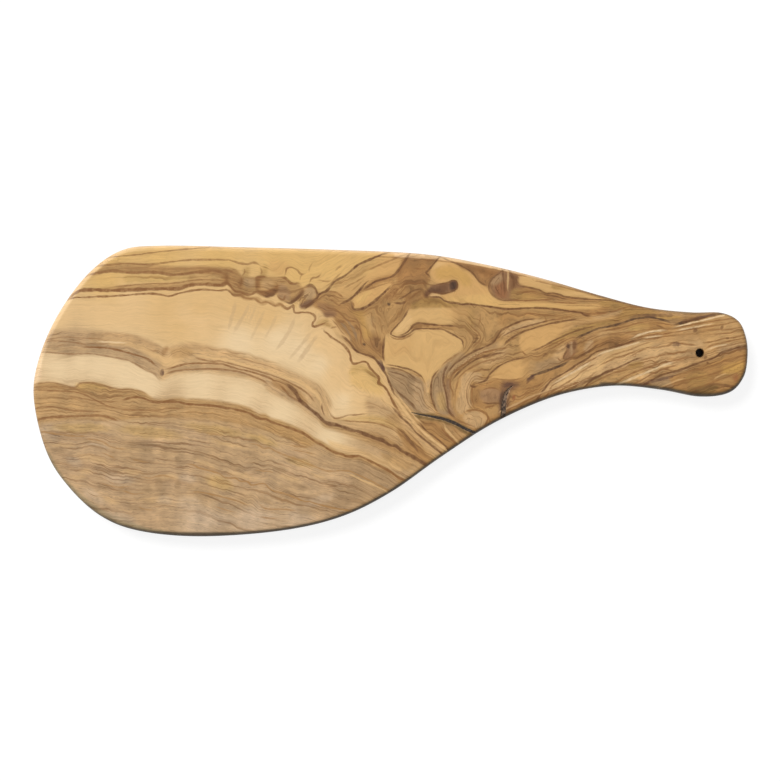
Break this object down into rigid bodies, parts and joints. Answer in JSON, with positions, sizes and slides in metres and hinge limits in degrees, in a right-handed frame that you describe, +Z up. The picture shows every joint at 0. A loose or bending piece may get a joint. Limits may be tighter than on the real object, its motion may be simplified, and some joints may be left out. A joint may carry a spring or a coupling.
{
  "type": "serving board",
  "caption": "Wooden paddle-shaped serving board: a wide rounded blade that runs in one curve into a short handle with a hanging hole.",
  "frame": {"origin": "on the underside, below the middle of the board's overall length and width", "axes": "+X along the board towards the handle, +Y towards the straighter long edge, +Z up out of the serving face"},
  "size_m": [0.4201, 0.1711, 0.016],
  "materials": {
    "olive_wood": "sanded and oiled, satin",
    "dark_filler": "hard dark stopping, sanded flush",
    "bark": "rough ingrown bark, oiled"
  },
  "bodies": {
    "root": {"board": "olive_wood", "crack_filler": "dark_filler", "bark_inclusion": "bark"}
  },
  "joints": []
}
